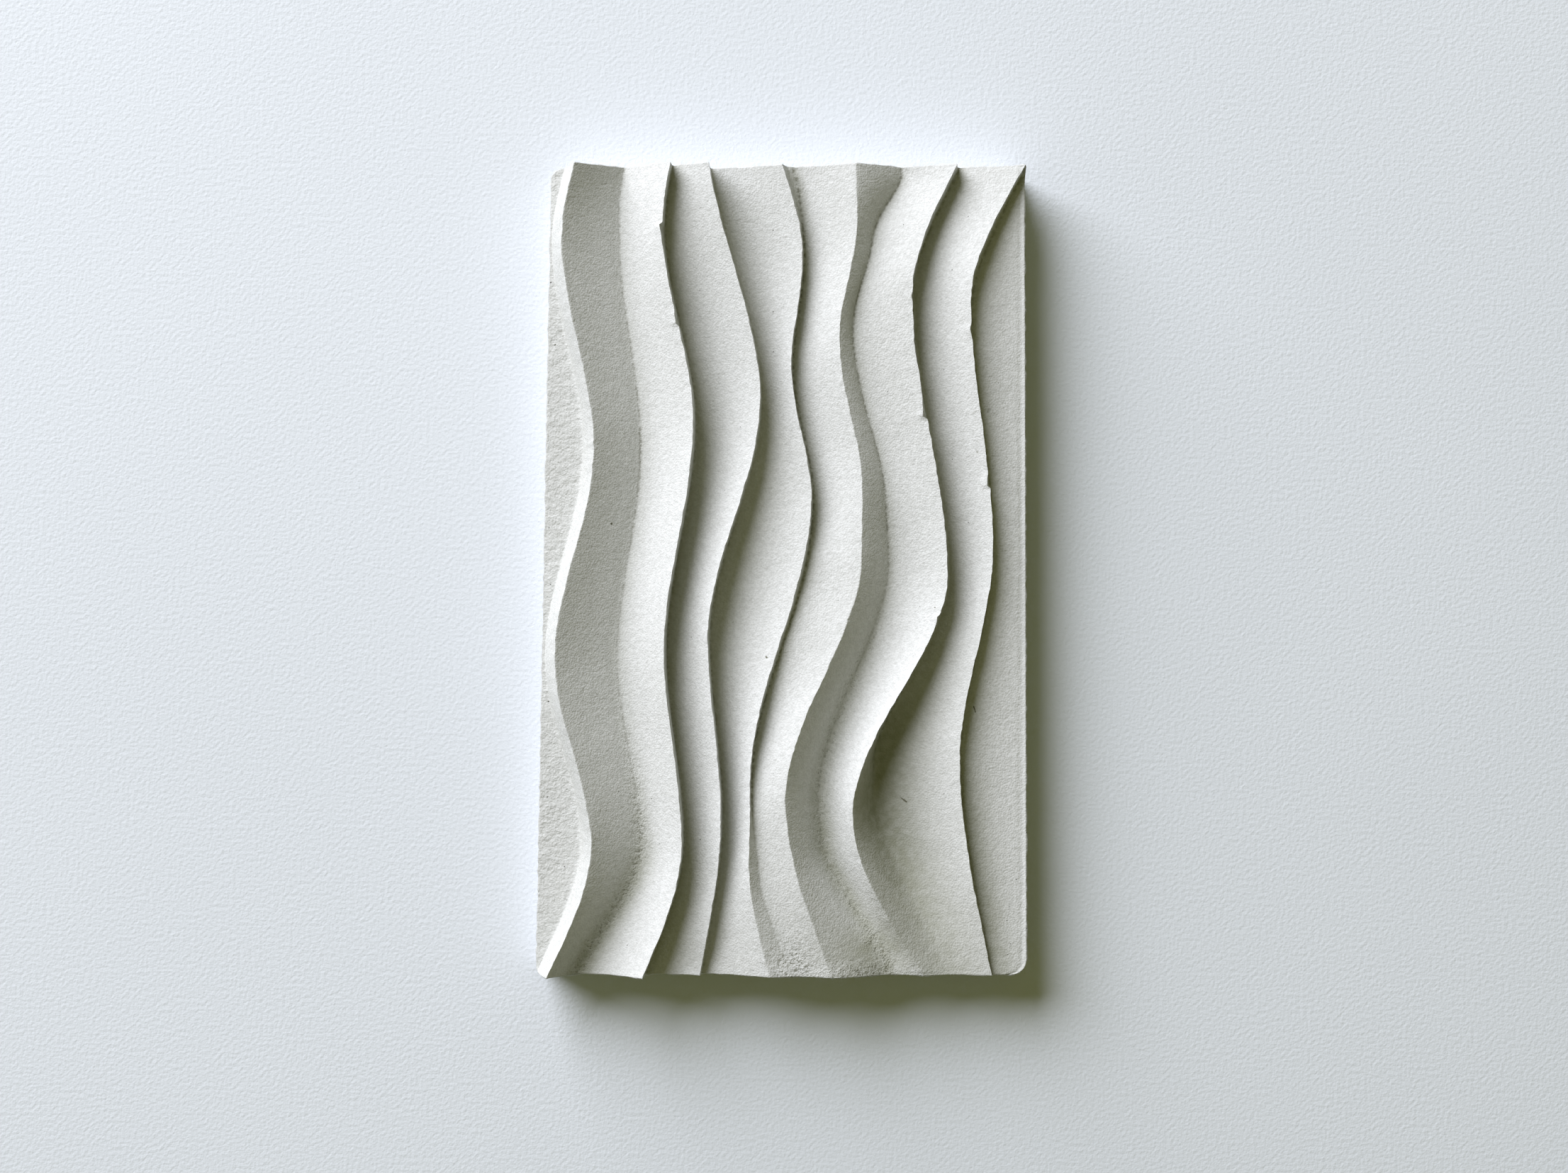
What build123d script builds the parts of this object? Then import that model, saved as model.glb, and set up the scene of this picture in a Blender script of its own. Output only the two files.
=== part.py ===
from build123d import *

import os
from dataclasses import dataclass

# A cast relief wall panel: one slab whose face is worked into seven wavy ridges.
#
# The panel lies on its flat back. X runs across the face, Y up the face and Z out of it, in millimetres,
# with the origin in the middle of the back. Each ridge climbs gently from the left to a sharp crest and
# drops away on its right to the foot of the next.

# Driving dimensions of the slab
panel_height = 500.0
panel_width = 305.0  # across the bottom edge, which is the widest
left_lean = 9.5  # how far the left edge leans in at the top
right_lean = 1.5  # how far the right edge leans in at the top
floor_thickness = 31.0  # from the back to the bottom of the hollows
relief_depth = 22.0  # from the bottom of the hollows to the highest crest
top_left_radius = 8.0
top_right_radius = 2.0
bottom_left_radius = 5.0
bottom_right_radius = 10.0

# Driving dimensions of the face
border_run = 8.0  # width of the first ridge's left side, which drops to the border strip
hollow_place = 0.35  # share of a climbing side, from its foot, where the hollow pulls deepest
bulge_place = 0.5  # share of a right-hand side, from its crest, where the bulge swells most
station_count = 32  # sections that the face is lofted through
overrun = 12.0  # how far the lofted face runs past the slab before it is trimmed


@dataclass
class Ridge:
    """One ridge, as turning points that its lines swing between on the way up the panel.

    Every entry is a pair: how far up the panel, then the value there, both in percent. Places and runs
    across are percent of the panel's width, and heights are percent of the relief's depth. The hollow and
    the bulge of a side are percent of that side's own width.
    """

    crest: list  # where the crest lies, from the left
    top: list  # height of the crest
    hollow: list  # how far the climbing side is scooped out below a straight slope
    run: list  # how far the right-hand side runs out before it meets its foot
    foot: list  # height of the foot
    bulge: float = 0  # how far the right-hand side swells out past a straight drop


steep = [(0, 0.3)]

ridges = [
    Ridge(
        crest=[(-10, -1.5), (16.4, 12.0), (39.2, 4.7), (65.2, 12.5), (90.6, 6.1), (110, 12.0)],
        top=[(0, 70), (20, 82), (42, 84), (60, 70), (70, 74), (85, 84), (100, 88)],
        hollow=[(0, 0)],
        run=[(0, 5.3), (16, 9.4), (39, 12.1), (65, 9.1), (90, 11.2), (100, 9.5)],
        foot=[(0, -6), (30, 0)],
    ),
    Ridge(
        crest=[(-16, 14.8), (17, 30.2), (40, 26.7), (68.4, 32.6), (92, 26.4), (110, 30.6)],
        top=[(0, 75), (20, 90), (60, 100), (85, 100), (100, 92)],
        hollow=[(0, 11), (20, 9), (60, 6), (85, 5), (100, 1)],
        run=steep,
        foot=[(0, 0), (80, 0), (100, 40)],
    ),
    Ridge(
        crest=[(-12, 31.6), (20, 38.0), (41.6, 35.4), (71, 45.9), (105, 34.9)],
        top=[(0, 20), (8, 45), (20, 75), (45, 82), (68, 78), (85, 84), (100, 88)],
        hollow=[(0, 7), (20, 8), (50, 6), (70, 7), (90, 5)],
        run=steep,
        foot=[(0, -12), (10, -5), (40, -5), (62, 8), (75, 5), (90, -5)],
    ),
    Ridge(
        crest=[(-10, 50.3), (14, 43.6), (24, 43.8), (59, 56.2), (75, 52.1), (89, 54.4), (110, 46.7)],
        top=[(0, 57), (15, 70), (50, 62), (75, 50), (100, 52)],
        hollow=[(0, 5), (40, 8), (70, 7), (90, 5)],
        run=[(0, 5.0), (6, 3.0), (12, 2.0), (22, 0.4), (47, 1.2), (58, 0.5), (90, 0.5), (100, 3.3)],
        foot=[
            (0, 40), (8, 48), (20, 50), (31, 22), (42, 44),
            (50, 36), (58, 10), (68, 0), (88, 5), (100, 14),
        ],
    ),
    Ridge(
        crest=[(-14, 64.8), (22, 50.9), (52, 66.1), (60, 66.3), (78, 61.7), (93, 65.2), (110, 64.9)],
        top=[(0, 69), (12, 84), (25, 90), (50, 82), (75, 72), (88, 70), (100, 74)],
        hollow=[(0, 4.5), (70, 4.5), (85, 2)],
        run=[
            (0, 12.0), (5, 11.5), (10, 8.5), (15, 6.6), (25, 6.6),
            (47, 5.9), (73, 3.3), (82, 2.5), (91, 3.5), (100, 9.5),
        ],
        foot=[(0, 6), (14, -22), (25, -16), (35, -6), (48, 8), (62, 26), (85, 34), (97, 8)],
        bulge=4,
    ),
    Ridge(
        crest=[(-18, 91.0), (20.4, 64.35), (49.8, 83.4), (83.6, 76.3), (112, 91.3)],
        top=[(0, 28), (14, 70), (25, 90), (60, 84), (85, 82), (100, 58)],
        hollow=[(0, 3), (18, 8), (29, 10), (40, 7), (60, 5), (80, 2)],
        run=[(0, 4.6), (8, 6.5), (14, 6.5), (21, 4.4), (30, 1.5), (40, 0.5), (85, 0.5), (100, 1.5)],
        foot=[(0, 8), (16, -24), (30, -16), (42, 0), (60, 5)],
        bulge=3,
    ),
    Ridge(
        crest=[(-16, 95.6), (27, 86.0), (53, 92.6), (83, 88.1), (112, 106)],
        top=[(0, 25), (15, 50), (35, 60), (60, 66), (85, 74), (100, 45)],
        hollow=[(0, 4), (15, 7), (30, 7), (42, 5), (80, 4), (100, 0)],
        run=[(0, 0.3), (80, 0.3), (90, 1.7), (100, 1.0)],
        foot=[(0, 8), (30, 15), (75, 25), (100, 12)],
    ),
]
border_height = [(0, -12)]
right_edge_height = [(0, 18), (75, 22)]
right_edge_hollow = [(0, 3)]


def swing(turns, up):
    """Value at a height on a line that eases from each turning point into the next."""
    if up <= turns[0][0]:
        return turns[0][1]
    for (low, start), (high, end) in zip(turns, turns[1:]):
        if up <= high:
            share = (up - low) / (high - low)
            return start + (end - start) * share**2 * (3 - 2 * share)
    return turns[-1][1]


def across(percent):
    """X of a place given in percent of the panel's width."""
    return (percent / 100 - 0.5) * panel_width


def level(percent):
    """Z of a height given in percent of the relief's depth."""
    return floor_thickness + percent / 100 * relief_depth


def bowed(start, end, place, hollow):
    """One side of a ridge, scooped out below a straight slope, or swollen where hollow is negative."""
    span = end - start
    belly = start + span * place + span.rotate(Axis.Y, 90) * 2 * hollow / 100
    return Bezier(start, belly, end)


def section(y):
    """The panel's cross-section at a height, taken past both outer walls."""
    up = (y / panel_height + 0.5) * 100
    left = -panel_width / 2 - overrun
    right = panel_width / 2 + overrun
    crest = Vector(across(swing(ridges[0].crest, up)), y, level(swing(ridges[0].top, up)))
    border = level(swing(border_height, up))
    border_foot = Vector(crest.X - border_run, y, border)
    edges = [
        Line((left, y, -overrun), (left, y, border)),
        Line((left, y, border), border_foot),
        Line(border_foot, crest),
    ]
    for ridge, following in zip(ridges, ridges[1:] + [None]):
        foot_x = crest.X + swing(ridge.run, up) / 100 * panel_width
        foot = Vector(foot_x, y, level(swing(ridge.foot, up)))
        edges.append(bowed(crest, foot, bulge_place, -ridge.bulge))
        if following:
            crest = Vector(across(swing(following.crest, up)), y, level(swing(following.top, up)))
            hollow = swing(following.hollow, up)
        else:
            crest = Vector(right, y, level(swing(right_edge_height, up)))
            hollow = swing(right_edge_hollow, up)
        edges.append(bowed(foot, crest, hollow_place, hollow))
    edges.append(Line(crest, (right, y, -overrun)))
    edges.append(Line((right, y, -overrun), (left, y, -overrun)))
    return Face(Wire(edges))


def relief():
    """The worked face as a solid, longer and wider than the slab and reaching below its back."""
    reach = panel_height / 2 + overrun
    step = 2 * reach / (station_count - 1)
    return loft([section(-reach + index * step) for index in range(station_count)])


def slab():
    """The slab's own outline, with rounded corners and upright walls, taller than any crest."""
    half_height = panel_height / 2
    half_width = panel_width / 2
    outline = Polyline(
        (-half_width, -half_height),
        (half_width, -half_height),
        (half_width - right_lean, half_height),
        (-half_width + left_lean, half_height),
        close=True,
    )
    face = make_face(outline)
    corners = face.vertices().sort_by(Axis.Y)
    bottom_left, bottom_right = corners[:2].sort_by(Axis.X)
    top_left, top_right = corners[2:].sort_by(Axis.X)
    for corner, radius in (
        (bottom_left, bottom_left_radius),
        (bottom_right, bottom_right_radius),
        (top_left, top_left_radius),
        (top_right, top_right_radius),
    ):
        nearest = face.vertices().sort_by_distance(corner)[0]
        face = fillet(nearest, radius)
    return extrude(face, floor_thickness + 2 * relief_depth)


panel = slab() & relief()

os.makedirs("parts", exist_ok=True)
export_step(panel, "parts/relief_panel.step")
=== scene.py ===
import math

import bpy
import numpy as np
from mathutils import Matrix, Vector
from mathutils.bvhtree import BVHTree


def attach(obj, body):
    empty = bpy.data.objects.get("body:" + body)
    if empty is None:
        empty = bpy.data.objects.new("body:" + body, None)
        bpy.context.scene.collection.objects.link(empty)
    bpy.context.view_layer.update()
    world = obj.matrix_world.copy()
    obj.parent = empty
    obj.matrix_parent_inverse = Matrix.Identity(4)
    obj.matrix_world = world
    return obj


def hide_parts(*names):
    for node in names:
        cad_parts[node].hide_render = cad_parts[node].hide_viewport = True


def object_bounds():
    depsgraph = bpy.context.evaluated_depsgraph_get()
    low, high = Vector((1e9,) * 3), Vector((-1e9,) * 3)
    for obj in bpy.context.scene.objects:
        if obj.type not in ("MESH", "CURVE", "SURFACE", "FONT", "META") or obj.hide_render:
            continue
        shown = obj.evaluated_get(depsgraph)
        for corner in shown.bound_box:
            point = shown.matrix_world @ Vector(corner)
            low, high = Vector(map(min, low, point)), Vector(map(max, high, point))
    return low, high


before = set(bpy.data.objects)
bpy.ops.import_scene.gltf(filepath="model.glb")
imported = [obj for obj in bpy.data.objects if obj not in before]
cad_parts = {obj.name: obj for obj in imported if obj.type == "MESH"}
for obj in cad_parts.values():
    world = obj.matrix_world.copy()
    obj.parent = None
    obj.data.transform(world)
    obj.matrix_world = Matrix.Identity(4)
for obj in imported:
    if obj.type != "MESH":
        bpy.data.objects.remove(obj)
cad_low, cad_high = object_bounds()

# A cast relief wall panel, lying on its back: seven wavy ridges in pale sandy stone.
# Lengths are in metres unless a note says otherwise, X across the face, Y up the face and Z out of it.
# The ridges are lettered A to G from the left.
MM = 0.001

# Camera, straight above the panel at the photograph's distance
CAMERA_PLACE = Vector((1.85, -9.5, 1376.6)) * MM
CAMERA_LENS = 50.0
CAMERA_SENSOR = 36.0

# Light: one large soft lamp from the upper left and a weak warm fill from all round
LAMP_AZIMUTH = 128.5
LAMP_ELEVATION = 28.5
LAMP_DISTANCE = 6.0
LAMP_SIZE = 5.5
LAMP_POWER = 705.0
LAMP_COLOR = (0.915, 0.93, 1.0)
FILL_COLOR = (0.99, 1.0, 0.40, 1.0)
FILL_STRENGTH = 0.127

# Floor: matt paint, faintly clouded and stippled
FLOOR_REACH = 300.0
FLOOR_LIGHT = (0.835, 0.868, 0.93, 1.0)
FLOOR_DARK = (0.795, 0.828, 0.89, 1.0)
FLOOR_ROUGHNESS = 0.9
FLOOR_CLOUD = 250 * MM
FLOOR_CLOUD_DETAIL = 4.0
FLOOR_STIPPLE = 2.4 * MM
FLOOR_STIPPLE_DEPTH = 0.3 * MM

# Reading the solid
WORKED_ABOVE = 5 * MM  # the worked faces lie higher than this, and the walls and the back reach below it
MID_BAND = 30 * MM  # half height of the band, round the middle, where the faces are put in order
SAME_POINT_DIGITS = 5  # decimals at which points of two neighbouring faces are the same
RING_DIGITS = 7  # decimals at which points of the back's outline are the same
RAY_START = 1.0  # height that the solid is measured from

# How finely the panel is meshed
ROW_PITCH = 1.4 * MM
COLUMN_PITCH = 2.1 * MM
SPARE_COLUMNS = 5  # on top of the pitch, so that narrow drops have enough
END_ROWS = np.array([0.15, 0.6, 1.3]) * MM  # extra rows that follow the rounded corners
ROW_INSET = 1e-7  # keeps the outermost rows inside the rim
LEAST_RUN = 1e-6  # of a drop, so that a share of it can be worked out
FACET_PASSES = 2  # how much the solid's facets are smoothed
SHARP_ANGLE = 50.0

# Cast edges
ARRIS = 1.2 * MM  # rounding of the outer edges of the face
ARRIS_STEPS = 3
ARRIS_WEAR = 0.9 * MM
ARRIS_BUMP = 3.5 * MM
BACK_BEVEL = 0.5 * MM
WALL_COURSES = 5
WALL_ROUGHNESS = 0.25 * MM
WALL_BUMP = 7 * MM
CREST_PASSES = 1  # how much the crests are rounded over
FOOT_PASSES = 3  # and the feet

# The solid's lines across the face, counted from the left edge to the right edge
CRESTS = {"A": 2, "B": 4, "C": 6, "D": 8, "E": 10, "F": 12, "G": 14}
FEET = {"border": 1, "A": 3, "B": 5, "C": 7, "D": 9, "E": 11, "F": 13, "G": 15}

# Feet that run out in a soft hollow: radius in millimetres at turning points up the panel, in percent
SOFT_FEET = {
    "A": [(0, 4.5), (30, 3.0), (60, 1.5), (100, 1.2)],
    "E": [(0, 4.5), (30, 3.0), (45, 2.0), (60, 0.6), (100, 0.6)],
    "F": [(0, 7.0), (15, 5.0), (26, 1.0), (30, 0.0)],
}
SOFT_SHARE = 0.4  # of a drop's width, which the radius stays under
SOFT_LEAST = 0.3 * MM  # radius below which a foot stays sharp
SOFT_SPREAD = 2.0  # radii on each side that a hollow is averaged over
SOFT_SAMPLES = 17
SOFT_REACH = 2.2  # radii from the foot where the hollow has died out

# Drops that fall away at once below their crest: strength at turning points up the panel, in percent
DROP_BITES = {
    "B": [(0, 1.0)],
    "C": [(0, 1.0)],
    "D": [(16, 0.0), (28, 1.0)],
    "F": [(24, 0.0), (34, 1.0)],
    "G": [(0, 1.0)],
}
BITE = 0.4  # power of the bitten profile, where 1 is a straight drop
TUCK = 0.65  # share by which a bitten drop is drawn in under its crest

# Chips in the crests: ridge, height up the panel, set-back, reach upward and reach downward, in millimetres
CHIPS = [
    ("A", 78, 0.8, 2, 2),
    ("B", 211, 1.7, 1, 15),
    ("B", 150, 1.5, 12, 1),
    ("E", -30, 0.9, 3, 2),
    ("F", 168, 1.0, 3, 4),
    ("F", 94, 2.4, 14, 0.8),
    ("F", -28, 1.0, 2, 4),
    ("G", 148, 1.0, 5, 5),
    ("G", 52, 1.8, 10, 0.8),
]
CHIP_FADE = 1.5  # power by which a chip runs out
CHIP_WIDTH = 7.0 * MM  # how far a chip or a waver of the crest is felt on the climbing side
CHIP_DROP = 3.0 * MM  # and on the dropping side

# Hand-worked unevenness: bump width and height
UNEVEN = [(46 * MM, 0.22 * MM), (15 * MM, 0.10 * MM), (5 * MM, 0.05 * MM)]
WAVER = [(13 * MM, 0.30 * MM), (5 * MM, 0.18 * MM), (2.6 * MM, 0.22 * MM)]  # of the crests, sideways
BORDER_STIPPLE = [(4.2 * MM, 0.14 * MM), (2.8 * MM, 0.14 * MM)]
BORDER_FADE = 3 * MM  # over which the stipple dies out towards the first ridge

# Thin lip along the right edge, with a shallow groove inside it: distance from the edge, width and height
EDGE_LIP = [(0.2 * MM, 0.8 * MM, 0.25 * MM), (2.4 * MM, 1.0 * MM, -0.5 * MM)]
LIP_WAVE = 9 * MM  # length over which the lip's height changes
LIP_CHANGE = 0.4  # and by what share

# Random heights
LATTICE = 256  # cells of the table that they are drawn from
UNEVEN_SEED = 11
STIPPLE_SEED = 21
LIP_SEED = 31
CREST_SEED = 40
WALL_SEED = 61
ARRIS_SEED = 62

# Stone colours
STONE_PALE = (0.765, 0.768, 0.765, 1.0)
STONE_DULL = (0.59, 0.592, 0.58, 1.0)
# duller copy of the stone on the walls and back: painted shade
EDGE_SHADED_PALE = (0.66, 0.662, 0.655, 1.0)
EDGE_SHADED_DULL = (0.48, 0.482, 0.47, 1.0)
# olive colour of the dust and painted shade in the valleys
STONE_DUST_AND_SHADE = (0.33, 0.334, 0.255, 1.0)
# dark colour of the marks, and of the painted shade in the seams, air holes and gaps between crumbs
STONE_DIRT_AND_SHADE = (0.17, 0.167, 0.12, 1.0)

# Olive dust with painted shade in the valleys, dark seams of painted shade at the feet, and crumbs along the
# feet:
# ridge, reach in millimetres, and strength at turning points up the panel, in percent
FOOT_DUST_AND_SHADE = [
    ("border", 16, [(0, 0.1)]),
    ("A", 9, [(0, 0.8), (12, 0.75), (24, 0.0)]),
    ("A", 7, [(0, 0.6), (15, 0.5), (30, 0.2), (100, 0.15)]),
    ("B", 5, [(0, 0.55)]),
    ("C", 5, [(0, 0.2), (15, 0.2), (30, 0.45), (52, 0.45), (62, 0.1)]),
    ("D", 4, [(0, 0.1), (20, 0.1), (30, 0.4)]),
    ("E", 9, [(0, 0.7), (16, 0.75), (30, 0.3), (45, 0.0)]),
    ("E", 4, [(30, 0.2), (60, 0.25)]),
    ("F", 27, [(0, 0.6), (20, 0.95), (28, 0.85), (38, 0.2), (46, 0.0)]),
    ("F", 5, [(20, 0.0), (30, 0.5)]),
    ("G", 14, [(0, 0.8), (18, 0.75), (30, 0.35), (40, 0.0)]),
    ("G", 4, [(0, 0.35)]),
]
# Dark seams of painted shade at the foot lines: ridge, width in millimetres, and strength at turning points
# up the panel, in percent
FOOT_SHADE_SEAMS = [
    ("A", 0.8, [(0, 0.4), (40, 0.5), (65, 0.8), (100, 0.5)]),
    ("B", 0.9, [(0, 0.7)]),
    ("C", 0.9, [(0, 0.5), (15, 0.5), (30, 0.8), (52, 0.8), (62, 0.35)]),
    ("D", 0.9, [(0, 0.3), (15, 0.3), (25, 1.0)]),
    ("E", 0.8, [(0, 0.2), (45, 0.4), (60, 0.9)]),
    ("F", 0.9, [(20, 0.0), (30, 0.8)]),
    ("G", 0.9, [(0, 0.7)]),
]
FOOT_CRUMBS = [
    ("A", 5, [(0, 1.0), (22, 0.8), (34, 0.2), (45, 0.0)]),
    ("E", 5, [(0, 1.0), (12, 0.7), (40, 0.5), (50, 0.0)]),
]
SIDE_PAINTED_SHADE = 0.15  # painted shade on the first ridge's left side, which faces the lamp

# Patches on the face: place, half width and half height in millimetres, then strength
# a darker olive patch near the bottom of the face
DARK_OLIVE_PATCHES = [(58, -232, 30, 20, 0.8)]
CRUMB_PATCHES = [(40, -247, 42, 7, 0.8), (54, -227, 4, 4, 1.0), (8, -243, 16, 16, 0.9)]
PIT_PATCHES = [(139, -205, 14, 34, 1.0)]

# Dark hairs, a hairline crack, specks and smudges: both ends and half width in millimetres, then strength
MARKS = [
    ((73.6, -139.8), (77.6, -142.8), 0.5, 1.0),
    ((118.9, -83.4), (120.0, -87.0), 0.5, 1.0),
    ((-87.2, 84.9), (-87.4, 66.0), 0.8, 0.5),
    ((-87.4, 66.0), (-88.7, 50.7), 0.8, 0.35),
    ((-87.5, 85.4), (-87.3, 84.4), 0.9, 0.7),
    ((-104.3, 29.2), (-104.1, 29.0), 0.7, 1.0),
    ((-9.0, -52.7), (-8.8, -52.9), 0.85, 1.0),
    ((94.1, -22.3), (94.3, -22.5), 0.7, 0.9),
    ((-113.3, -75.6), (-113.1, -75.8), 0.7, 1.0),
    ((127.6, 98.2), (128.2, 99.4), 1.6, 0.35),
    ((118.0, 96.6), (119.4, 97.8), 1.2, 0.3),
    ((120.1, 73.0), (120.3, 72.8), 0.6, 0.6),
    ((134.0, 115.9), (134.2, 115.7), 0.5, 0.6),
    ((139.1, 70.2), (139.3, 70.0), 0.5, 0.6),
]
MARK_BUMP = 3 * MM  # width of the unevenness of a mark's edge
MARK_WAVER = (-0.2 * MM, 0.3 * MM)
MARK_CORE = 0.3  # share of the half width that is fully dark

# Scale of the stone's detail
NOISE_DETAIL = 2.0
NOISE_ROUGHNESS = 0.5
NOISE_SPAN = (0.3, 0.7)  # range that most of a noise's values fill
STONE_SPECULAR = 0.25
STONE_ROUGHNESS = (0.80, 0.95)
GRAIN_FINE = 1.15 * MM
GRAIN_COARSE = 3.0 * MM
GRAIN_COARSE_ROUGHNESS = 0.55
GRAIN_DEPTH = 0.48 * MM
SPECKLE = [(1.1 * MM, 0.4), (2.8 * MM, 0.4)]  # size and share of the stone's tone
CLOUD = 22 * MM
CLOUD_SHARE = 0.2
CLOUD_DETAIL = 3.0
HOLE_SPACING = 5 * MM
HOLE_SIZES = (0.5, 1.2)  # smallest and largest, in shares of the finish's hole radius
HOLE_DEPTH = 1.5  # in grains
# painted shade in the air holes
HOLE_SHADE = 0.6
CRUMB = 2.2 * MM
CRUMB_ROUGHNESS = 0.7
CRUMB_HEIGHT = 2.5  # in grains
CRUMB_GAP_SPAN = (0.35, 0.44)  # range of the crumbs' noise over which the gaps between them close
# painted shade in the gaps between crumbs
CRUMB_GAP_SHADE = 0.75
DUST_PATCH = 5 * MM
DUST_DETAIL = 3.0
DUST_SHARES = (0.7, 1.0)  # of the strength of the dust and painted shade, where it is thinnest and thickest
SHADE_SEAM_BREAK = 2.4 * MM
SHADE_SEAM_SPAN = (0.38, 0.62)
SHADE_SEAM_SHARES = (0.1, 0.8)  # of the strength of a seam of painted shade, where it is broken and whole

# Finishes of the panel, in the order of its materials: the worked face, the stippled border strip, and the
# walls and back from the mould, in duller stone that paints shade on them. A hole's share is of the cells
# that may have one, and its radius is in cells.
WORKED, BORDER, CAST = range(3)
FINISHES = [
    dict(name="worked_stone", colors=(STONE_DULL, STONE_PALE), coarse_share=0.62,
         grain_depth=GRAIN_DEPTH, hole_share=0.10, hole_radius=0.08),
    dict(name="border_stone", colors=(STONE_DULL, STONE_PALE), coarse_share=0.85,
         grain_depth=2.0 * GRAIN_DEPTH, hole_share=0.6, hole_radius=0.12),
    dict(name="cast_stone_edge_shaded", colors=(EDGE_SHADED_DULL, EDGE_SHADED_PALE), coarse_share=0.62,
         grain_depth=GRAIN_DEPTH, hole_share=0.4, hole_radius=0.12),
]

# Sockets of a colour mix node
MIX_SHARE, MIX_FIRST, MIX_SECOND = 0, 6, 7
MIX_RESULT = 2


def ease(share):
    """Smooth step from 0 to 1."""
    share = np.clip(share, 0, 1)
    return share * share * (3 - 2 * share)


def swing(turns, up):
    """Values on a line that eases from each turning point into the next."""
    places, values = zip(*turns)
    value = np.full(np.shape(up), float(values[0]))
    for low, high, start, end in zip(places, places[1:], values, values[1:]):
        value += (end - start) * ease((up - low) / (high - low))
    return value


def ripple(x, y, size, seed):
    """Smooth random heights from -1 to 1, with bumps about as wide as size."""
    heights = np.random.default_rng(seed).uniform(-1, 1, (LATTICE, LATTICE))
    u, v = np.broadcast_arrays(x / size, y / size)
    i, j = np.floor(u).astype(int), np.floor(v).astype(int)
    s, t = ease(u - i), ease(v - j)
    i, j = i % LATTICE, j % LATTICE
    k, m = (i + 1) % LATTICE, (j + 1) % LATTICE
    near = heights[i, j] * (1 - s) + heights[k, j] * s
    far = heights[i, m] * (1 - s) + heights[k, m] * s
    return near * (1 - t) + far * t


def roughness(x, y, layers, seed):
    """Sum of several ripples, each of its own bump width and height."""
    return sum(height * ripple(x, y, size, seed + n) for n, (size, height) in enumerate(layers))


class Solid:
    """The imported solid: its faces as point sets, and a tree for measuring its height."""

    def __init__(self, node):
        points = [node.matrix_world @ vertex.co for vertex in node.data.vertices]
        corners = [tuple(face.vertices) for face in node.data.polygons]
        self.tree = BVHTree.FromPolygons(points, corners)
        group = list(range(len(points)))

        def leader(index):
            while group[index] != index:
                group[index] = group[group[index]]
                index = group[index]
            return index

        for first, *others in corners:
            for other in others:
                group[leader(other)] = leader(first)
        faces = {}
        for index, point in enumerate(points):
            faces.setdefault(leader(index), []).append(tuple(point))
        self.faces = [np.array(face) for face in faces.values()]

    def outline(self):
        """Corners of the flat back, anticlockwise."""
        back = min(self.faces, key=lambda face: face[:, 2].max())
        ring = np.unique(back[:, :2].round(RING_DIGITS), axis=0)
        middle = ring.mean(axis=0)
        order = np.argsort(np.arctan2(ring[:, 1] - middle[1], ring[:, 0] - middle[0]))
        return ring[order]

    def strips(self):
        """The faces that the worked side is made of, from left to right."""
        worked = [face for face in self.faces if face[:, 2].min() > WORKED_ABOVE]
        return sorted(worked, key=lambda face: face[np.abs(face[:, 1]) < MID_BAND, 0].mean())

    def lines(self):
        """Crests and feet, where neighbouring strips meet, each as points sorted up the panel."""
        strips = self.strips()
        lines = []
        for left, right in zip(strips, strips[1:]):
            known = {tuple(point) for point in left.round(SAME_POINT_DIGITS)}
            shared = np.array([point for point in right if tuple(point.round(SAME_POINT_DIGITS)) in known])
            lines.append(shared[np.argsort(shared[:, 1])])
        return lines

    def height(self, x, y):
        """Height of the solid's top at a place."""
        hit = self.tree.ray_cast(Vector((x, y, RAY_START)), Vector((0, 0, -1)))[0]
        if hit is None:
            hit = self.tree.find_nearest(Vector((x, y, cad_high.z)))[0]
        return hit.z


def inset(ring, distance):
    """A convex ring moved inward by a distance."""
    run = np.roll(ring, -1, axis=0) - ring
    run /= np.linalg.norm(run, axis=1, keepdims=True)
    after = np.column_stack([run[:, 1], -run[:, 0]])
    before = np.roll(after, 1, axis=0)
    spread = 1 + np.sum(before * after, axis=1, keepdims=True)
    return ring - distance * (before + after) / spread


def reach(ring, rows):
    """Leftmost and rightmost X of a ring at each row."""
    left = np.full(len(rows), np.inf)
    right = np.full(len(rows), -np.inf)
    for start, end in zip(ring, np.roll(ring, -1, axis=0)):
        if start[1] == end[1]:
            continue
        share = (rows - start[1]) / (end[1] - start[1])
        inside = (share >= 0) & (share <= 1)
        x = start[0] + share * (end[0] - start[0])
        left = np.where(inside, np.minimum(left, x), left)
        right = np.where(inside, np.maximum(right, x), right)
    return left, right


def nearest_on(ring, places):
    """Nearest point of a closed ring to each place."""
    best = np.full(len(places), np.inf)
    found = np.zeros_like(places)
    for start, end in zip(ring, np.roll(ring, -1, axis=0)):
        run = end - start
        share = np.clip((places - start) @ run / (run @ run), 0, 1)
        point = start + share[:, None] * run
        gap = np.linalg.norm(places - point, axis=1)
        closer = gap < best
        best = np.where(closer, gap, best)
        found[closer] = point[closer]
    return found


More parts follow.
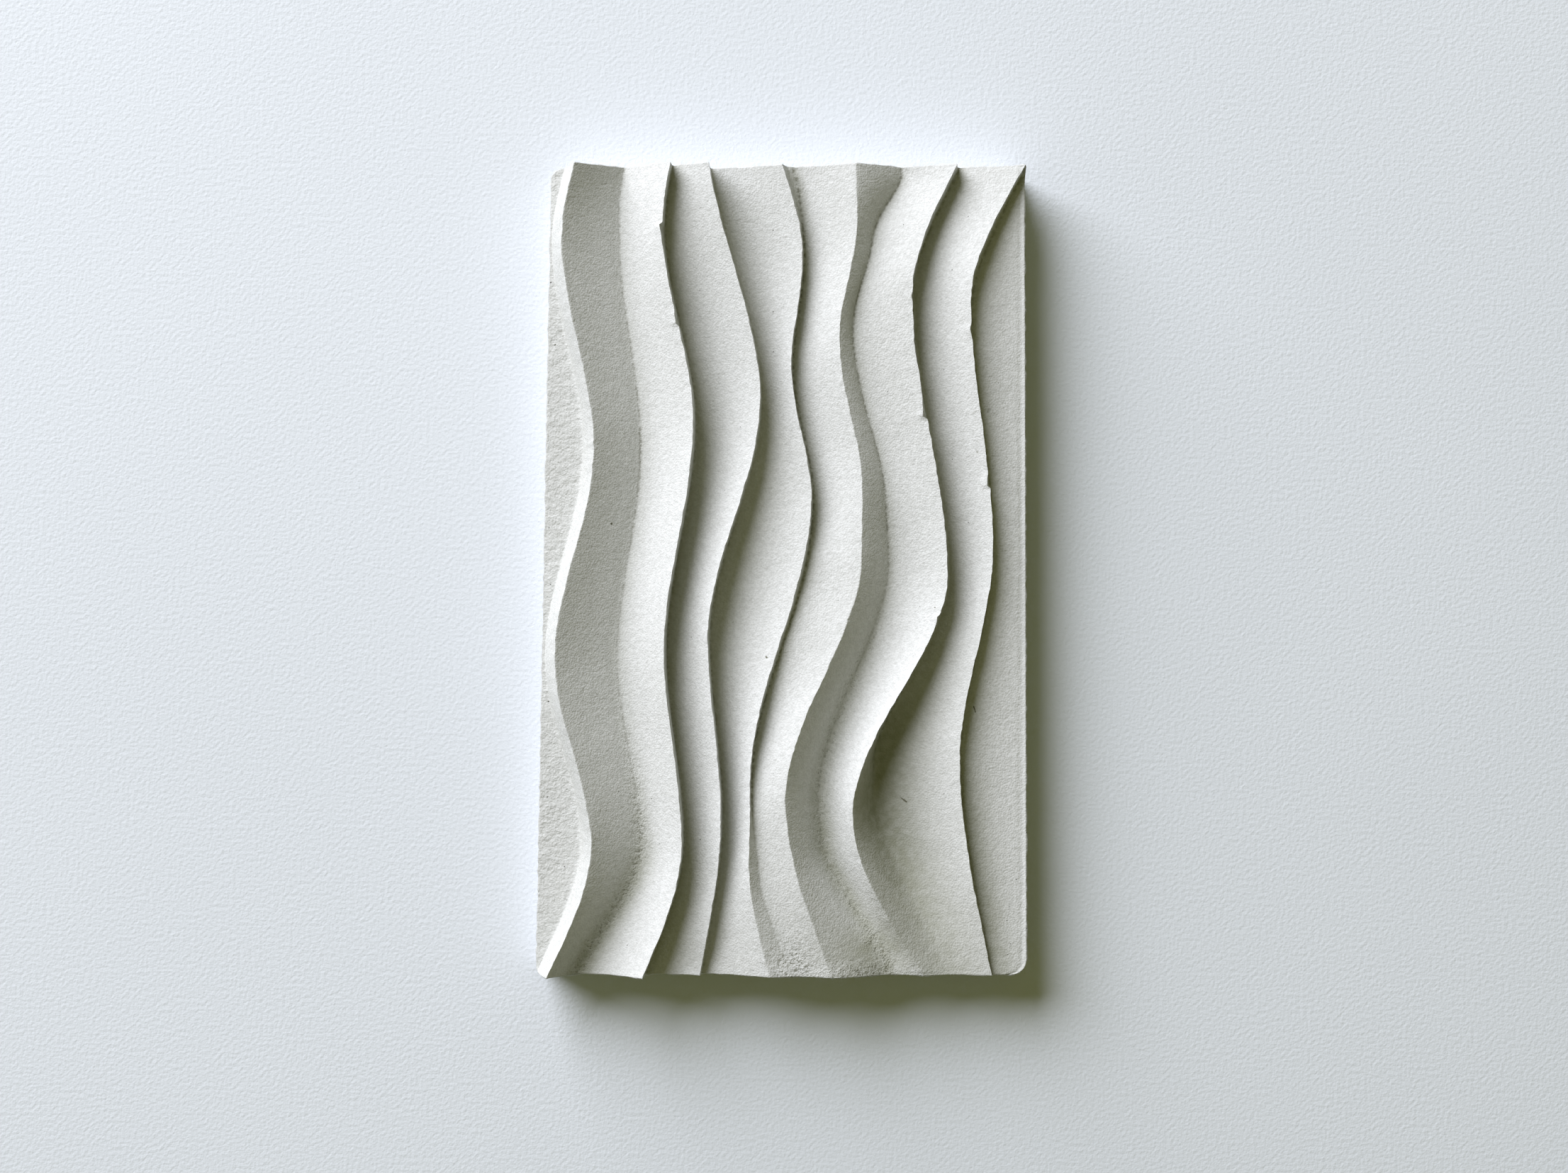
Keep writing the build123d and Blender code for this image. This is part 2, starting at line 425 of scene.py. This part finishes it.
class Face:
    """The worked face as a grid of points: rows up the panel, columns that follow its crests and feet."""

    def __init__(self, solid):
        self.outline = solid.outline()
        self.rim = inset(self.outline, ARRIS)
        low, high = self.rim[:, 1].min(), self.rim[:, 1].max()
        even = np.linspace(low + ROW_INSET, high - ROW_INSET, round((high - low) / ROW_PITCH))
        self.rows = np.unique(np.concatenate([even, low + END_ROWS, high - END_ROWS]))
        self.up = (self.rows - cad_low.y) / (cad_high.y - cad_low.y) * 100
        self.left, self.right = reach(self.rim, self.rows)
        self.place_columns(solid)
        self.measure(solid)

    def place_columns(self, solid):
        """X of every column, crowded towards the crests and feet."""
        bounds = self.left[:, None], self.right[:, None]
        inner = [np.interp(self.rows, line[:, 1], line[:, 0]) for line in solid.lines()]
        free = np.column_stack([self.left, *inner, self.right])
        lines = np.clip(free, *bounds)
        columns = [lines[:, :1]]
        self.line_at = [0]
        self.strip_of = []
        for strip, (start, end) in enumerate(zip(lines.T, lines.T[1:])):
            count = round((end - start).mean() / COLUMN_PITCH) + SPARE_COLUMNS
            share = (1 - np.cos(np.pi * np.arange(1, count + 1) / count)) / 2
            columns.append(start[:, None] + (end - start)[:, None] * share)
            self.line_at.append(self.line_at[-1] + count)
            self.strip_of += [strip] * count
        self.x = np.hstack(columns)
        self.y = np.repeat(self.rows[:, None], self.x.shape[1], axis=1)
        self.held_left = self.x <= bounds[0]
        self.held_right = self.x >= bounds[1]
        self.on_line = free == lines

    def measure(self, solid):
        """Z of every point, read from the solid."""
        self.z = np.array([[solid.height(x, y) for x, y in zip(*row)] for row in zip(self.x, self.y)])
        for line, points in enumerate(solid.lines(), start=1):
            column = self.line_at[line]
            z = np.interp(self.rows, points[:, 1], points[:, 2])
            self.z[:, column] = np.where(self.on_line[:, line], z, self.z[:, column])

    def smooth_rows(self, passes):
        """Takes the solid's facets out, along the columns."""
        for _ in range(passes):
            self.z[1:-1] = (self.z[:-2] + 2 * self.z[1:-1] + self.z[2:]) / 4

    def soften_foot(self, ridge):
        """Fills a foot to a soft hollow."""
        column = self.line_at[FEET[ridge]]
        drop = self.x[:, column] - self.x[:, self.line_at[CRESTS[ridge]]]
        radius = np.minimum(swing(SOFT_FEET[ridge], self.up) * MM, SOFT_SHARE * drop)
        offsets = np.linspace(-SOFT_SPREAD, SOFT_SPREAD, SOFT_SAMPLES)
        weights = np.exp(-offsets * offsets)
        weights /= weights.sum()
        for row, size in enumerate(radius):
            if size < SOFT_LEAST:
                continue
            x, z = self.x[row], self.z[row]
            blurred = sum(w * np.interp(x + o * size, x, z) for o, w in zip(offsets, weights))
            share = ease(SOFT_REACH - np.abs(x - x[column]) / size)
            self.z[row] = z + (blurred - z) * share

    def bite_drop(self, ridge):
        """Lets a drop fall away steeply at its crest, and draws its foot in under it."""
        crest, foot = self.line_at[CRESTS[ridge]], self.line_at[FEET[ridge]]
        x, z = self.x[:, crest:foot + 1], self.z[:, crest:foot + 1]
        share = np.clip((x - x[:, :1]) / np.maximum(x[:, -1:] - x[:, :1], LEAST_RUN), 0, 1)
        sunk = np.maximum(z[:, :1] - z[:, -1:], 0) * (share ** BITE - share)
        strength = swing(DROP_BITES[ridge], self.up)[:, None]
        self.z[:, crest:foot + 1] -= sunk * strength
        self.x[:, crest:foot + 1] -= (x - x[:, :1]) * TUCK * strength

    def shift_crest(self, ridge, seed):
        """Lets a crest waver sideways and takes the chips out of it."""
        column, foot = self.line_at[CRESTS[ridge]], self.line_at[FEET[ridge]]
        shift = roughness(np.float64(seed), self.rows, WAVER, seed)
        for where, y, depth, above, below in CHIPS:
            if where == ridge:
                rise = self.rows - y * MM
                fade = 1 - np.where(rise > 0, rise / (above * MM), -rise / (below * MM))
                shift = shift - depth * MM * np.clip(fade, 0, 1) ** CHIP_FADE
        crest = self.x[:, column:column + 1]
        share = ease(1 - (crest - self.x) / CHIP_WIDTH)
        run = np.clip(self.x[:, foot:foot + 1] - crest, LEAST_RUN, CHIP_DROP)
        share[:, column:] = np.clip(1 - (self.x[:, column:] - crest) / run, 0, 1)
        self.x = self.x + shift[:, None] * share

    def round_lines(self):
        """Rounds the crests and feet over, across the columns."""
        passes = dict.fromkeys(FEET.values(), FOOT_PASSES) | dict.fromkeys(CRESTS.values(), CREST_PASSES)
        for line, count in passes.items():
            column = self.line_at[line]
            span = slice(column - 2, column + 3)
            before, after = slice(column - 3, column + 2), slice(column - 1, column + 4)
            for _ in range(count):
                for grid in (self.x, self.z):
                    grid[:, span] = (grid[:, before] + 2 * grid[:, span] + grid[:, after]) / 4

    def along_feet(self, bands):
        """Bands along the feet, strongest at the foot and kept between its two crests, from 0 to 1."""
        cover = np.zeros_like(self.z)
        for ridge, width, turns in bands:
            line = FEET[ridge]
            foot = slice(self.line_at[line], self.line_at[line] + 1)
            valley = slice(self.line_at[line - 1] + 1, self.line_at[line + 1])
            gap = np.hypot(self.x[:, valley] - self.x[:, foot], self.z[:, valley] - self.z[:, foot])
            strength = swing(turns, self.up)[:, None]
            band = strength * np.exp(-((gap / (width * MM)) ** 2))
            cover[:, valley] = np.maximum(cover[:, valley], band)
        return cover

    def patches(self, spots):
        """Soft patches on the face, from 0 to 1."""
        cover = np.zeros_like(self.z)
        for x, y, wide, high, strength in spots:
            spread = ((self.x / MM - x) / wide) ** 2 + ((self.y / MM - y) / high) ** 2
            cover = np.maximum(cover, strength * np.exp(-spread))
        return cover

    def find_covers(self):
        """Where the face has dust and painted shade, seams of painted shade, crumbs and pits, each from 0 to
        1.
        """
        dust_and_shade = np.maximum(self.along_feet(FOOT_DUST_AND_SHADE), self.patches(DARK_OLIVE_PATCHES))
        # painted shade on the first ridge's left side
        left_side = slice(self.line_at[FEET["border"]] + 1, self.line_at[CRESTS["A"]])
        dust_and_shade[:, left_side] = np.maximum(dust_and_shade[:, left_side], SIDE_PAINTED_SHADE)
        self.covers = {
            "dust_and_shade": dust_and_shade,
            "shade_seam": self.along_feet(FOOT_SHADE_SEAMS),
            "crumbs": np.maximum(self.along_feet(FOOT_CRUMBS), self.patches(CRUMB_PATCHES)),
            "pits": self.patches(PIT_PATCHES),
        }

    def work_surface(self):
        """Hand-worked unevenness, the stippled border and the lip along the right edge."""
        border_foot = self.line_at[FEET["border"]]
        border = np.zeros_like(self.z)
        border[:, :border_foot + 1] = 1
        border *= ease((self.x[:, border_foot][:, None] - self.x) / BORDER_FADE)
        self.z += roughness(self.x, self.y, UNEVEN, UNEVEN_SEED)
        self.z += border * roughness(self.x, self.y, BORDER_STIPPLE, STIPPLE_SEED)
        from_edge = self.right[:, None] - self.x
        for distance, width, height in EDGE_LIP:
            strength = 1 + LIP_CHANGE * ripple(self.x, self.y, LIP_WAVE, LIP_SEED)
            self.z += height * strength * np.exp(-((from_edge - distance) / width) ** 2)

    def ends(self, row):
        """Columns of a row that lie on the rim, at the left and at the right."""
        return np.flatnonzero(self.held_left[row])[-1], np.flatnonzero(self.held_right[row])[0]

    def close_ends(self):
        """Draws the columns that lie beyond the rim together on it."""
        self.x = np.where(self.held_left, self.left[:, None], self.x)
        self.x = np.where(self.held_right, self.right[:, None], self.x)
        for row in range(len(self.rows)):
            first, last = self.ends(row)
            self.z[row, :first] = self.z[row, first]
            self.z[row, last + 1:] = self.z[row, last]

    def points(self):
        """Every point of the grid, row after row."""
        return np.stack([self.x, self.y, self.z], axis=-1).reshape(-1, 3)


def worked_face(solid):
    """The face with its hand-worked finish."""
    face = Face(solid)
    face.smooth_rows(FACET_PASSES)
    for ridge in SOFT_FEET:
        face.soften_foot(ridge)
    for ridge in DROP_BITES:
        face.bite_drop(ridge)
    for index, ridge in enumerate(CRESTS):
        face.shift_crest(ridge, CREST_SEED + len(WAVER) * index)
    face.round_lines()
    face.find_covers()
    face.work_surface()
    face.close_ends()
    return face


def wall_rings(face, rim):
    """Points of the rounded arris, the walls and the back bevel, ring below ring."""
    top = face.points()[rim]
    edge = nearest_on(face.outline, top[:, :2])
    outward = edge - top[:, :2]
    outward /= np.linalg.norm(outward, axis=1, keepdims=True)
    along = np.cumsum(np.linalg.norm(edge - np.roll(edge, 1, axis=0), axis=1))
    worn = ARRIS_WEAR * (1 + ripple(along, 0.0, ARRIS_BUMP, ARRIS_SEED)) / 2
    rings = []
    for step in range(1, ARRIS_STEPS + 1):
        turn = math.pi / 2 * step / ARRIS_STEPS
        across = top[:, :2] + outward * ((ARRIS - worn) * math.sin(turn))[:, None]
        rings.append(np.column_stack([across, top[:, 2] - (ARRIS + worn) * (1 - math.cos(turn))]))
    shoulder = rings[-1][:, 2]
    for course in range(1, WALL_COURSES + 1):
        z = shoulder + (BACK_BEVEL - shoulder) * course / WALL_COURSES
        dent = WALL_ROUGHNESS * (1 + ripple(along, z, WALL_BUMP, WALL_SEED)) / 2
        rings.append(np.column_stack([edge - outward * dent[:, None], z]))
    rings.append(np.column_stack([edge - outward * BACK_BEVEL, np.zeros(len(rim))]))
    return rings


def panel_shape(face):
    """The closed panel: worked face, rounded arrises, walls and flat back, with each face's finish."""
    row_count, column_count = face.x.shape
    index = np.arange(row_count * column_count).reshape(row_count, column_count)
    for row in range(row_count):
        first, last = face.ends(row)
        index[row, :first] = index[row, first]
        index[row, last + 1:] = index[row, last]
    corners = np.stack([index[:-1, :-1], index[:-1, 1:], index[1:, 1:], index[1:, :-1]], axis=-1)
    shapes = [list(dict.fromkeys(quad)) for quad in corners.reshape(-1, 4).tolist()]
    finishes = [BORDER if strip == 0 else WORKED for strip in face.strip_of] * (row_count - 1)
    faces = [(shape, finish) for shape, finish in zip(shapes, finishes) if len(shape) > 2]

    rim = np.concatenate([index[0], index[1:, -1], index[-1, -2::-1], index[-2:0:-1, 0]])
    rim = np.array(list(dict.fromkeys(rim.tolist())))
    rings = wall_rings(face, rim)
    above = rim
    for ring in range(len(rings)):
        below = index.size + ring * len(rim) + np.arange(len(rim))
        quads = np.stack([above, below, np.roll(below, -1), np.roll(above, -1)], axis=-1)
        faces += [(quad, CAST) for quad in quads.tolist()]
        above = below
    faces.append((above[::-1].tolist(), CAST))
    return np.vstack([face.points(), *rings]), faces


def panel_object(face, materials):
    """The panel as one closed mesh that carries where its face has dust and painted shade, seams of painted
    shade, crumbs and pits.
    """
    points, faces = panel_shape(face)
    used = np.unique(np.concatenate([np.array(shape) for shape, _ in faces]))
    renumber = np.zeros(len(points), int)
    renumber[used] = np.arange(len(used))
    mesh = bpy.data.meshes.new("relief_panel_skin")
    mesh.from_pydata(points[used].tolist(), [], [renumber[shape].tolist() for shape, _ in faces])
    for material in materials:
        mesh.materials.append(material)
    mesh.polygons.foreach_set("material_index", [finish for _, finish in faces])
    for name, grid in face.covers.items():
        values = np.zeros(len(points))
        values[:grid.size] = grid.ravel()
        mesh.attributes.new(name, "FLOAT", "POINT").data.foreach_set("value", values[used])
    mesh.shade_smooth()
    mesh.set_sharp_from_angle(angle=math.radians(SHARP_ANGLE))
    mesh.validate()
    panel = bpy.data.objects.new("relief_panel_skin", mesh)
    bpy.context.scene.collection.objects.link(panel)
    return panel


def feed(tree, socket, value):
    """Gives a socket a value of its own, or the value of another node's socket."""
    if isinstance(value, bpy.types.NodeSocket):
        tree.links.new(value, socket)
    else:
        socket.default_value = value


def add_node(tree, kind, settings=(), **inputs):
    """A shader node with its settings and inputs; an input is a value or another node's socket."""
    made = tree.nodes.new(kind)
    for name, value in dict(settings).items():
        setattr(made, name, value)
    for name, value in inputs.items():
        feed(tree, made.inputs[name.replace("_", " ")], value)
    return made


def calculate(tree, operation, *terms):
    """Result of a sum, product or other calculation on sockets and numbers."""
    made = add_node(tree, "ShaderNodeMath", {"operation": operation})
    for socket, term in zip(made.inputs, terms):
        feed(tree, socket, term)
    return made.outputs[0]


def calculate_vector(tree, operation, *terms):
    """Results of a calculation on vectors, as a vector and a number."""
    made = add_node(tree, "ShaderNodeVectorMath", {"operation": operation})
    for socket, term in zip(made.inputs, terms):
        feed(tree, socket, term)
    return made.outputs


def remap(tree, value, low, high, start=0.0, end=1.0):
    """A value spread smoothly from one range to another."""
    made = add_node(tree, "ShaderNodeMapRange", {"interpolation_type": "SMOOTHSTEP"}, Value=value,
                    From_Min=low, From_Max=high, To_Min=start, To_Max=end)
    return made.outputs["Result"]


def mix_color(tree, share, first, second):
    """Colour between two colours."""
    made = add_node(tree, "ShaderNodeMix", {"data_type": "RGBA"})
    for index, value in ((MIX_SHARE, share), (MIX_FIRST, first), (MIX_SECOND, second)):
        feed(tree, made.inputs[index], value)
    return made.outputs[MIX_RESULT]


def place(tree):
    """The point on the panel that is being shaded."""
    return add_node(tree, "ShaderNodeTexCoord").outputs["Object"]


def noise(tree, size, detail=NOISE_DETAIL, rough=NOISE_ROUGHNESS):
    """Random values over the surface, with bumps of a given size."""
    made = add_node(tree, "ShaderNodeTexNoise", Vector=place(tree), Scale=1 / size, Detail=detail,
                    Roughness=rough)
    return made.outputs["Fac"]


def voronoi(tree, size):
    """Random cells over the surface, about as wide as a given size."""
    return add_node(tree, "ShaderNodeTexVoronoi", Vector=place(tree), Scale=1 / size)


def attribute(tree, name):
    """A value that the panel's mesh carries."""
    return add_node(tree, "ShaderNodeAttribute", {"attribute_name": name}).outputs["Fac"]


def new_group(name, inputs, outputs):
    """An empty shader node group with named number sockets, and its input and output nodes."""
    tree = bpy.data.node_groups.new(name, "ShaderNodeTree")
    for title in inputs:
        tree.interface.new_socket(title, in_out="INPUT", socket_type="NodeSocketFloat")
    for title in outputs:
        tree.interface.new_socket(title, in_out="OUTPUT", socket_type="NodeSocketFloat")
    return tree, tree.nodes.new("NodeGroupInput"), tree.nodes.new("NodeGroupOutput")


def sand_grain_group():
    """Sandy grain: its height, and the stone's tone, speckled with pale and dull grains."""
    tree, given, result = new_group("sand_grain", ["Coarse Share"], ["Height", "Tone"])
    fine = calculate(tree, "SUBTRACT", 1.0, voronoi(tree, GRAIN_FINE).outputs["Distance"])
    coarse = noise(tree, GRAIN_COARSE, rough=GRAIN_COARSE_ROUGHNESS)
    rest = calculate(tree, "SUBTRACT", 1.0, given.outputs["Coarse Share"])
    height = calculate(tree, "ADD", calculate(tree, "MULTIPLY", coarse, given.outputs["Coarse Share"]),
                       calculate(tree, "MULTIPLY", fine, rest))
    tone = calculate(tree, "MULTIPLY", noise(tree, CLOUD, detail=CLOUD_DETAIL), CLOUD_SHARE)
    for size, share in SPECKLE:
        grains = remap(tree, noise(tree, size), *NOISE_SPAN, 0.0, share)
        tone = calculate(tree, "ADD", tone, grains)
    tree.links.new(height, result.inputs["Height"])
    tree.links.new(tone, result.inputs["Tone"])
    return tree


def air_hole_group():
    """Small air holes left by the casting: one where a cell's chance is high enough."""
    tree, given, result = new_group("air_holes", ["Share", "Radius"], ["Hole"])
    cells = voronoi(tree, HOLE_SPACING)
    dice = add_node(tree, "ShaderNodeSeparateColor", Color=cells.outputs["Color"])
    chance = calculate(tree, "ADD", given.outputs["Share"], attribute(tree, "pits"))
    chosen = calculate(tree, "LESS_THAN", dice.outputs["Red"], chance)
    size = remap(tree, dice.outputs["Green"], 0.0, 1.0, *HOLE_SIZES)
    radius = calculate(tree, "MULTIPLY", given.outputs["Radius"], size)
    depth = remap(tree, cells.outputs["Distance"], 0.0, radius, 1.0, 0.0)
    tree.links.new(calculate(tree, "MULTIPLY", depth, chosen), result.inputs["Hole"])
    return tree


def crumb_group():
    """Crumbs of sand stuck in the valleys: how high they stand, and the painted shade in the gaps between
    them.
    """
    tree, _, result = new_group("crumbs", [], ["Height", "Shaded Gap"])
    rough = noise(tree, CRUMB, rough=CRUMB_ROUGHNESS)
    crumbly = attribute(tree, "crumbs")
    height = calculate(tree, "MULTIPLY", rough, calculate(tree, "MULTIPLY", crumbly, CRUMB_HEIGHT))
    gap = remap(tree, rough, *CRUMB_GAP_SPAN, CRUMB_GAP_SHADE, 0.0)
    tree.links.new(height, result.inputs["Height"])
    tree.links.new(calculate(tree, "MULTIPLY", gap, crumbly), result.inputs["Shaded Gap"])
    return tree


def dirt_and_shade_group():
    """Olive dust and painted shade in the valleys, and the dark colour of the painted shade in the seams and
    of the marks.
    """
    tree, _, result = new_group("dirt_and_shade", [], ["Dust", "Dark Marks And Shade"])
    patchy = remap(tree, noise(tree, DUST_PATCH, detail=DUST_DETAIL), *NOISE_SPAN, *DUST_SHARES)
    tree.links.new(calculate(tree, "MULTIPLY", attribute(tree, "dust_and_shade"), patchy), result.inputs["Dust"])
    # seams of painted shade at the feet, broken by noise
    broken = remap(tree, noise(tree, SHADE_SEAM_BREAK), *SHADE_SEAM_SPAN, *SHADE_SEAM_SHARES)
    dark_marks_and_shade = calculate(tree, "MULTIPLY", attribute(tree, "shade_seam"), broken)
    flat = calculate_vector(tree, "MULTIPLY", place(tree), (1, 1, 0))["Vector"]
    uneven = remap(tree, noise(tree, MARK_BUMP), *NOISE_SPAN, *MARK_WAVER)
    for start, end, half_width, strength in MARKS:
        gap = calculate(tree, "ADD", segment_gap(tree, flat, start, end), uneven)
        mark = remap(tree, gap, MARK_CORE * half_width * MM, half_width * MM, strength, 0.0)
        dark_marks_and_shade = calculate(tree, "MAXIMUM", dark_marks_and_shade, mark)
    tree.links.new(dark_marks_and_shade, result.inputs["Dark Marks And Shade"])
    return tree


def segment_gap(tree, point, start, end):
    """Distance of a point from a short line on the face, with the line's ends in millimetres."""
    start, end = Vector((*start, 0)) * MM, Vector((*end, 0)) * MM
    run = end - start
    offset = calculate_vector(tree, "SUBTRACT", point, start)["Vector"]
    along = calculate_vector(tree, "DOT_PRODUCT", offset, run / run.length_squared)["Value"]
    share = add_node(tree, "ShaderNodeClamp", Value=along).outputs["Result"]
    nearest = add_node(tree, "ShaderNodeVectorMath", {"operation": "SCALE"}, Vector=run, Scale=share)
    return calculate_vector(tree, "DISTANCE", offset, nearest.outputs["Vector"])["Value"]


def use_group(tree, group, **inputs):
    """The outputs of a node group placed in a material, with its own values."""
    return add_node(tree, "ShaderNodeGroup", {"node_tree": group}, **inputs).outputs


def stone_material(groups, name, colors, coarse_share, grain_depth, hole_share, hole_radius):
    """Sandy cast stone with its air holes, crumbs, dirt and painted shade."""
    material = bpy.data.materials.new(name)
    material.use_nodes = True
    tree = material.node_tree
    shader = tree.nodes["Principled BSDF"]
    shader.inputs["Specular IOR Level"].default_value = STONE_SPECULAR
    grain = use_group(tree, groups["grain"], Coarse_Share=coarse_share)
    hole = use_group(tree, groups["holes"], Share=hole_share, Radius=hole_radius)["Hole"]
    crumbs = use_group(tree, groups["crumbs"])
    dirt_and_shade = use_group(tree, groups["dirt_and_shade"])
    color = mix_color(tree, grain["Tone"], *colors)
    # olive dust and painted shade in the valleys and on the first ridge's left side
    color = mix_color(tree, dirt_and_shade["Dust"], color, STONE_DUST_AND_SHADE)
    # painted shade in the air holes
    dark_marks_and_shade = calculate(tree, "MAXIMUM", dirt_and_shade["Dark Marks And Shade"], calculate(tree, "MULTIPLY", hole, HOLE_SHADE))
    # dark marks, and painted shade in the seams, air holes and gaps between crumbs
    color = mix_color(tree, calculate(tree, "MAXIMUM", dark_marks_and_shade, crumbs["Shaded Gap"]), color, STONE_DIRT_AND_SHADE)
    height = calculate(tree, "ADD", grain["Height"], crumbs["Height"])
    height = calculate(tree, "SUBTRACT", height, calculate(tree, "MULTIPLY", hole, HOLE_DEPTH))
    bump = add_node(tree, "ShaderNodeBump", Strength=1.0, Distance=grain_depth, Height=height)
    tree.links.new(bump.outputs["Normal"], shader.inputs["Normal"])
    tree.links.new(remap(tree, grain["Tone"], 0.0, 1.0, *STONE_ROUGHNESS), shader.inputs["Roughness"])
    tree.links.new(color, shader.inputs["Base Color"])
    return material


def stone_finishes():
    """The panel's materials, which share their grain, air holes, crumbs, dirt and painted shade."""
    groups = {
        "grain": sand_grain_group(),
        "holes": air_hole_group(),
        "crumbs": crumb_group(),
        "dirt_and_shade": dirt_and_shade_group(),
    }
    return [stone_material(groups, **finish) for finish in FINISHES]


def make_floor():
    """Plain pale floor under the panel."""
    mesh = bpy.data.meshes.new("floor")
    r = FLOOR_REACH
    mesh.from_pydata([(-r, -r, 0), (r, -r, 0), (r, r, 0), (-r, r, 0)], [], [(0, 1, 2, 3)])
    material = bpy.data.materials.new("floor_paint")
    material.use_nodes = True
    tree = material.node_tree
    shader = tree.nodes["Principled BSDF"]
    shader.inputs["Roughness"].default_value = FLOOR_ROUGHNESS
    cloud = noise(tree, FLOOR_CLOUD, detail=FLOOR_CLOUD_DETAIL)
    tree.links.new(mix_color(tree, cloud, FLOOR_DARK, FLOOR_LIGHT), shader.inputs["Base Color"])
    bump = add_node(tree, "ShaderNodeBump", Strength=1.0, Distance=FLOOR_STIPPLE_DEPTH,
                    Height=noise(tree, FLOOR_STIPPLE))
    tree.links.new(bump.outputs["Normal"], shader.inputs["Normal"])
    mesh.materials.append(material)
    floor = bpy.data.objects.new("floor", mesh)
    bpy.context.scene.collection.objects.link(floor)


def make_camera():
    """Camera straight above the panel, looking down."""
    data = bpy.data.cameras.new("camera")
    data.lens = CAMERA_LENS
    data.sensor_width = CAMERA_SENSOR
    camera = bpy.data.objects.new("camera", data)
    camera.location = CAMERA_PLACE
    bpy.context.scene.collection.objects.link(camera)
    bpy.context.scene.camera = camera


def make_light():
    """One large soft lamp, and a weak fill from all round."""
    data = bpy.data.lights.new("soft_lamp", "AREA")
    data.shape = "DISK"
    data.size = LAMP_SIZE
    data.energy = LAMP_POWER
    data.color = LAMP_COLOR
    lamp = bpy.data.objects.new("soft_lamp", data)
    azimuth, elevation = math.radians(LAMP_AZIMUTH), math.radians(LAMP_ELEVATION)
    level = math.cos(elevation)
    toward = Vector((math.cos(azimuth) * level, math.sin(azimuth) * level, math.sin(elevation)))
    lamp.location = toward * LAMP_DISTANCE
    lamp.rotation_euler = toward.to_track_quat("Z", "Y").to_euler()
    bpy.context.scene.collection.objects.link(lamp)
    world = bpy.data.worlds.new("fill")
    world.use_nodes = True
    background = world.node_tree.nodes["Background"]
    background.inputs["Color"].default_value = FILL_COLOR
    background.inputs["Strength"].default_value = FILL_STRENGTH
    bpy.context.scene.world = world
    bpy.context.scene.view_settings.view_transform = "Standard"


make_camera()
make_light()
make_floor()
face = worked_face(Solid(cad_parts["relief_panel"]))
panel = panel_object(face, stone_finishes())
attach(panel, "root")
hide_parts("relief_panel")
